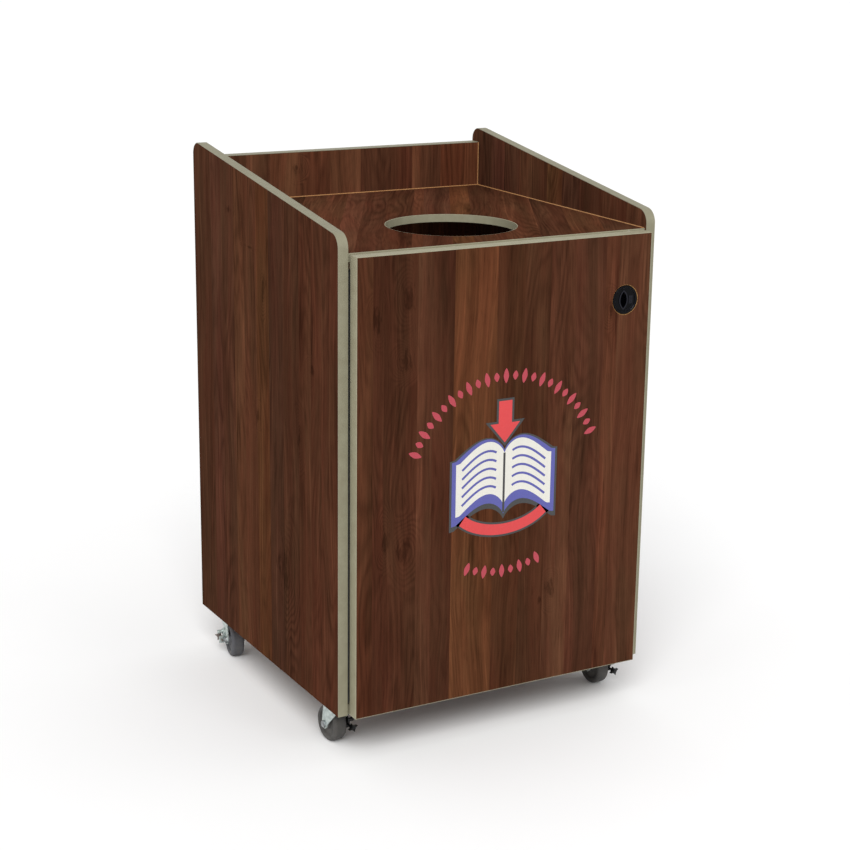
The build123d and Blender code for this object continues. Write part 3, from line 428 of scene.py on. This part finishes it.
def rubber(name, tint):
    """Moulded grey wheel rubber with dust and scuffing on the tread."""
    g = Graph(name)
    c = g.coords().outputs["Object"]
    gr = g.noise(c, 520.0, 3.0, 0.6)
    dust = g.noise(c, 48.0, 4.0, 0.62)
    z = g.xyz(c)[2]
    low = g.remap(z, 0.0, 0.03, 0.65, 0.25)
    f = g.mul(g.remap(dust, 0.40, 0.72), low)
    col = g.mix(f, tint, seen(122, 118, 112))
    col = g.scale(col, g.math("MULTIPLY_ADD", gr, 0.4, 0.8))
    g.set(Base_Color=col, Roughness=g.math("MULTIPLY_ADD", dust, 0.25, 0.48))
    g.bsdf.inputs["Specular IOR Level"].default_value = 0.35
    g.bump(gr, 0.3, 0.0002)
    return g.mat


def timber(name, a, b, axis=0):
    g = Graph(name)
    c = g.coords().outputs["Object"]
    x = list(g.xyz(c))
    s = [260.0, 260.0, 260.0]
    s[axis] = 14.0
    f = g.noise(g.vec(*[g.mul(q, k) for q, k in zip(x, s)]), 1.0, 4.0, 0.6)
    g.set(Base_Color=g.mix(g.remap(f, 0.3, 0.7), a, b), Roughness=g.math("MULTIPLY_ADD", f, 0.2, 0.5))
    g.bump(f, 0.25, 0.0002)
    return g.mat


def clear_stop():
    g = Graph("clear_stop")
    c = g.coords().outputs["Object"]
    n = g.noise(c, 300.0, 2.0, 0.5)
    g.set(Base_Color=g.mix(n, seen(196, 196, 190), seen(222, 222, 216)), Roughness=g.math("MULTIPLY_ADD", n, 0.1, 0.2))
    g.bsdf.inputs["Transmission Weight"].default_value = 0.35
    g.bump(n, 0.1, 0.0001)
    return g.mat


def vinyl(name, col):
    """Printed vinyl graphic over the laminate."""
    g = Graph(name)
    c = g.coords().outputs["Object"]
    n = g.noise(c, 850.0, 2.0, 0.6)
    cl = g.noise(c, 24.0, 3.0, 0.6)
    grain = g.noise(g.vec(*[g.mul(a, s) for a, s in zip(g.xyz(c), (420.0, 10.0, 7.0))]), 1.0, 2.0, 0.6)
    tone = g.math("MULTIPLY_ADD", cl, 0.16, 0.92)
    tone = g.mul(tone, g.math("MULTIPLY_ADD", grain, 0.10, 0.95))
    g.set(Base_Color=g.scale(g.mix(g.mul(n, 0.08), col, (0.5, 0.5, 0.5)), tone),
          Roughness=g.math("MULTIPLY_ADD", n, 0.14, 0.36))
    g.bump(grain, 0.12, 0.0001)
    return g.mat


m_band = banding("edge_banding")
# Lighter copies of the banding: painted light that offsets the shade on the drop hole's band, the door's edge band and
# the deck's front band.
m_band_hole_painted_light = banding("edge_banding_hole", 1.35)
m_band_door_painted_light = banding("edge_banding_door", 1.30)
m_raw = raw_edge()
m_zinc = metal("zinc_plate", seen(168, 180, 178), seen(222, 232, 228), 0.38, metallic=0.75)
m_bolt = metal("bolt_steel", seen(120, 124, 126), seen(186, 190, 192), 0.36, metallic=1.0)
m_black_steel = metal("black_steel", seen(22, 22, 24), seen(44, 43, 44), 0.42, metallic=0.6)
m_latch = latch_black()
m_brake = plastic("brake_black", seen(16, 16, 17), seen(38, 37, 37), 0.44, scale=600.0, bump=0.3, spec=0.3)
m_brake_worn = plastic("brake_worn", seen(92, 84, 80), seen(134, 124, 118), 0.48, scale=600.0, bump=0.3, spec=0.25)
m_bin = plastic("bin_plastic", seen(104, 108, 114), seen(122, 126, 132), 0.5, scale=420.0, bump=0.5, spec=0.3)
m_catch = plastic("catch_brown", seen(74, 50, 36), seen(96, 66, 48), 0.45)
m_front_rubber = rubber("wheel_rubber_front", seen(70, 68, 66))
m_rear_rubber = rubber("wheel_rubber_rear", seen(86, 87, 92))
m_board = timber("plain_board", seen(150, 112, 72), seen(186, 146, 100), axis=1)
m_beech = timber("beech", seen(196, 158, 116), seen(222, 188, 146), axis=0)
m_stop = clear_stop()

by_slot = {
    "edge_banding": m_band, "black_steel": m_black_steel, "latch_black": m_latch,
    "zinc_steel": m_bolt, "catch_plastic": m_catch, "clear_stop": m_stop, "bin_plastic": m_bin,
    "plain_board": m_board, "beech": m_beech, "wheel_rubber": m_front_rubber, "brake_black": m_brake,
}
by_node = {
    "drop_hole_band": m_band_hole_painted_light, "door_band": m_band_door_painted_light, "deck_front_band": m_band_door_painted_light,
    "door_panel": m_door, "side_panel_left": m_left, "side_panel_right": m_right,
    "back_panel": m_back, "top_deck": m_deck, "bottom_panel": m_bottom,
}
slots = {s["node"]: s["material_slot"] for s in frame["record"]["subparts"]}
for name, obj in nodes.items():
    if name in by_node:
        m = by_node[name]
    elif name.startswith("caster_r") and name.endswith("_wheel"):
        m = m_rear_rubber
    elif name.startswith("caster_r") and name.endswith("_brake_bracket"):
        m = m_zinc
    elif name.startswith("caster_r") and name.endswith("_brake_knob"):
        m = m_brake_worn
    elif name.endswith(("_fork", "_plate")) and name.startswith("caster_"):
        m = m_zinc
    else:
        m = by_slot[slots[name]]
    obj.data.materials.clear()
    obj.data.materials.append(m)


# ------------------------------------------------------------------ mesh helpers
def mesh_object(name, bm, mat, smooth=False):
    me = bpy.data.meshes.new(name)
    bmesh.ops.recalc_face_normals(bm, faces=bm.faces)
    bm.to_mesh(me)
    bm.free()
    obj = bpy.data.objects.new(name, me)
    scene.collection.objects.link(obj)
    obj.data.materials.append(mat)
    if smooth:
        for p in me.polygons:
            p.use_smooth = True
    return obj


def prism(bm, section, path_from, path_to):
    """Straight prism with a polygon section (list of offset vectors) from one point to another."""
    a = [bm.verts.new(Vector(path_from) + Vector(s)) for s in section]
    b = [bm.verts.new(Vector(path_to) + Vector(s)) for s in section]
    n = len(section)
    bm.faces.new(a)
    bm.faces.new(list(reversed(b)))
    for i in range(n):
        j = (i + 1) % n
        bm.faces.new((a[i], b[i], b[j], a[j]))


# ------------------------------------------------------------------ raw seams where the boards meet
deck_lo, deck_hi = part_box("top_deck")
back_lo, back_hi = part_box("back_panel")
sideL_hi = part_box("side_panel_left")[1]
sideR_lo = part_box("side_panel_right")[0]
front_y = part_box("deck_front_band")[0][1]
xl, xr = sideL_hi[0], sideR_lo[0]
yb, zd = back_lo[1], deck_hi[2]
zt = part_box("back_band")[1][2]
s = 0.0013


def seam(name, a, b, n1, n2):
    """Thin triangular fillet of raw board and glue in an inside corner; n1, n2 point out of it."""
    bm = bmesh.new()
    n1, n2 = Vector(n1) * s, Vector(n2) * s
    mid = (n1 + n2) * 0.42
    prism(bm, [Vector((0, 0, 0)), n1, mid, n2], a, b)
    o = mesh_object(name, bm, m_raw)
    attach(o, "cabinet")
    return o


seam("seam_deck_back", (xl, yb, zd), (xr, yb, zd), (0, -1, 0), (0, 0, 1))
seam("seam_deck_left", (xl, front_y + 0.002, zd), (xl, yb, zd), (1, 0, 0), (0, 0, 1))
seam("seam_deck_right", (xr, front_y + 0.002, zd), (xr, yb, zd), (-1, 0, 0), (0, 0, 1))
seam("seam_back_left", (xl, yb, zd), (xl, yb, zt - 0.001), (1, 0, 0), (0, -1, 0))
seam("seam_back_right", (xr, yb, zd), (xr, yb, zt - 0.001), (-1, 0, 0), (0, -1, 0))


# ------------------------------------------------------------------ printed emblem on the door
door_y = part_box("door_panel")[0][1]
ex, ez = -0.002, 0.478
m_red = vinyl("print_red", seen(214, 40, 44))
m_arc = vinyl("print_crimson", seen(176, 34, 56))
m_blue = vinyl("print_blue", seen(74, 76, 160))
m_white = vinyl("print_white", seen(226, 224, 214))
m_black = vinyl("print_black", seen(34, 34, 34))


def decal(name, loops, mat, level):
    """Flat vinyl shapes, given as loops of (x, z) in metres about the emblem's centre."""
    bm = bmesh.new()
    y0 = door_y - 0.00002 - 0.00006 * level
    y1 = y0 - 0.00006
    for loop in loops:
        back = [bm.verts.new((ex + x, y0, ez + z)) for x, z in loop]
        front = [bm.verts.new((ex + x, y1, ez + z)) for x, z in loop]
        n = len(loop)
        for tri in tessellate_polygon([[Vector((x, z, 0.0)) for x, z in loop]]):
            bm.faces.new([front[k] for k in tri])
            bm.faces.new([back[k] for k in reversed(tri)])
        for i in range(n):
            j = (i + 1) % n
            bm.faces.new((front[i], back[i], back[j], front[j]))
    o = mesh_object(name, bm, mat)
    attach(o, "door")
    return o


def smooth_loop(points, steps=10):
    """Closed Catmull-Rom curve through the points."""
    out = []
    n = len(points)
    for i in range(n):
        p0, p1, p2, p3 = (points[(i + k) % n] for k in (-1, 0, 1, 2))
        for j in range(steps):
            t = j / steps
            out.append(tuple(0.5 * ((2 * p1[a]) + (p2[a] - p0[a]) * t
                                    + (2 * p0[a] - 5 * p1[a] + 4 * p2[a] - p3[a]) * t * t
                                    + (3 * p1[a] - p0[a] - 3 * p2[a] + p3[a]) * t ** 3) for a in (0, 1)))
    return out


def page(sign, grow=0.0, drop=0.0, lift=0.0):
    """Half of an open book, as a curved leaf from the spine outwards."""
    w, h = 0.094 + grow, 0.092
    top, bot = [], []
    for i in range(25):
        t = i / 24
        x = sign * w * t
        arch = 0.026 * math.sin(math.pi * min(1.0, t * 1.08) ** 0.75) - 0.010 * t
        top.append((x, h / 2 + arch + grow * 0.6 + lift))
        bot.append((x, -h / 2 + arch - grow * 1.3 - drop))
    return top + bot[::-1]


def stroke(pts, w):
    """Ribbon of width w along an open polyline."""
    left, right = [], []
    for i, p in enumerate(pts):
        a = pts[max(0, i - 1)]
        b = pts[min(len(pts) - 1, i + 1)]
        dx, dz = b[0] - a[0], b[1] - a[1]
        l = math.hypot(dx, dz) or 1.0
        k = w[i] if isinstance(w, list) else w
        left.append((p[0] - dz / l * k / 2, p[1] + dx / l * k / 2))
        right.append((p[0] + dz / l * k / 2, p[1] - dx / l * k / 2))
    return left + right[::-1]


book_z = -0.012


def moved(loop, dx=0.0, dz=0.0):
    return [(x + dx, z + dz) for x, z in loop]


decal("emblem_outline", [moved(page(-1, 0.012, 0.010), 0, book_z), moved(page(1, 0.012, 0.010), 0, book_z)], m_black, 0)
decal("emblem_cover", [moved(page(-1, 0.008, 0.006), 0, book_z), moved(page(1, 0.008, 0.006), 0, book_z)], m_blue, 1)
decal("emblem_pages", [moved(page(-1), 0, book_z), moved(page(1), 0, book_z)], m_white, 2)
lines = []
for sgn in (-1, 1):
    for k in range(5):
        pts = []
        for i in range(4, 22):
            t = i / 24
            arch = 0.026 * math.sin(math.pi * min(1.0, t * 1.08) ** 0.75) - 0.010 * t
            pts.append((sgn * 0.094 * t, 0.030 - k * 0.0155 + arch + book_z))
        lines.append(stroke(pts, 0.0040))
decal("emblem_page_lines", lines, m_blue, 3)
decal("emblem_spine", [stroke([(0, 0.046 + book_z), (0, -0.060 + book_z)], 0.0042)], m_black, 3)
# arrow that drops into the book
arrow = [(-0.013, 0.125), (0.013, 0.125), (0.013, 0.086), (0.029, 0.086), (0.0, 0.052), (-0.029, 0.086), (-0.013, 0.086)]
arrow_o = [(-0.017, 0.129), (0.017, 0.129), (0.017, 0.090), (0.0385, 0.090), (0.0, 0.0455), (-0.0385, 0.090), (-0.017, 0.090)]
decal("emblem_arrow_outline", [arrow_o], m_black, 4)
decal("emblem_arrow", [arrow], m_red, 5)
# red ribbon under the book
rib = []
for i in range(25):
    a = math.radians(-150 + 120 * i / 24)
    rib.append((0.098 * math.cos(a), -0.042 + 0.060 * math.sin(a)))
decal("emblem_ribbon_outline", [stroke(rib, 0.026)], m_black, 0)
decal("emblem_ribbon", [stroke(rib[1:-1], 0.019)], m_red, 1)


def arc_marks(radius, cz, a0, a1, n, long, wide):
    """Row of plain lozenges along an arc."""
    out = []
    for i in range(n):
        a = math.radians(a0 + (a1 - a0) * i / (n - 1))
        k = 1.0 if i % 2 == 0 else 0.62
        cxm, czm = radius * math.cos(a), cz + radius * math.sin(a)
        er = (math.cos(a), math.sin(a))
        et = (-math.sin(a), math.cos(a))
        loop = []
        for j in range(16):
            b = 2 * math.pi * j / 16
            rr = long / 2 * k * math.copysign(abs(math.cos(b)) ** 1.4, math.cos(b))
            tt = wide / 2 * math.copysign(abs(math.sin(b)) ** 1.4, math.sin(b))
            loop.append((cxm + er[0] * rr + et[0] * tt, czm + er[1] * rr + et[1] * tt))
        out.append(loop)
    return out


decal("emblem_arc_upper", arc_marks(0.186, -0.018, 22, 158, 25, 0.026, 0.0105), m_arc, 0)
decal("emblem_arc_lower", arc_marks(0.186, 0.008, -112, -68, 9, 0.024, 0.0105), m_arc, 0)

# ------------------------------------------------------------------ floor and light
fl = bmesh.new()
R = 60.0
vs = [fl.verts.new(p) for p in ((-R, -R, 0), (R, -R, 0), (R, R, 0), (-R, R, 0))]
fl.faces.new(vs)
gf = Graph("floor")
c = gf.coords().outputs["Object"]
n = gf.noise(c, 3.0, 3.0, 0.5)
gf.set(Base_Color=gf.mix(n, (0.90, 0.90, 0.90), (0.92, 0.92, 0.92)), Roughness=gf.math("MULTIPLY_ADD", n, 0.1, 0.7))
gf.bsdf.inputs["Specular IOR Level"].default_value = 0.1
floor = mesh_object("floor", fl, gf.mat)

world = bpy.data.worlds.new("world")
scene.world = world
world.use_nodes = True
bg = world.node_tree.nodes["Background"]
bg.inputs["Color"].default_value = (1.0, 1.0, 1.0, 1.0)
bg.inputs["Strength"].default_value = 0.75


def lamp(name, kind, loc, target, power, **props):
    d = bpy.data.lights.new(name, kind)
    d.energy = power
    for k, v in props.items():
        setattr(d, k, v)
    o = bpy.data.objects.new(name, d)
    scene.collection.objects.link(o)
    o.location = loc
    o.rotation_euler = (Vector(target) - Vector(loc)).to_track_quat("-Z", "Y").to_euler()
    return o


lamp("sun", "SUN", (-2.0, -2.9, 3.5), (0, 0, 0), 1.8, angle=math.radians(35.0))
lamp("key", "AREA", (0.6, -3.0, 2.3), (0.1, 0, 0.7), 10.0, size=0.9)
# faint bounce light under the deck, so that the drop hole doesn't read as a black disc
inner = lamp("bounce", "AREA", (-0.05, 0.04, 0.795), (-0.08, 0.28, 0.805), 0.13, size=0.08)
inner.visible_camera = False
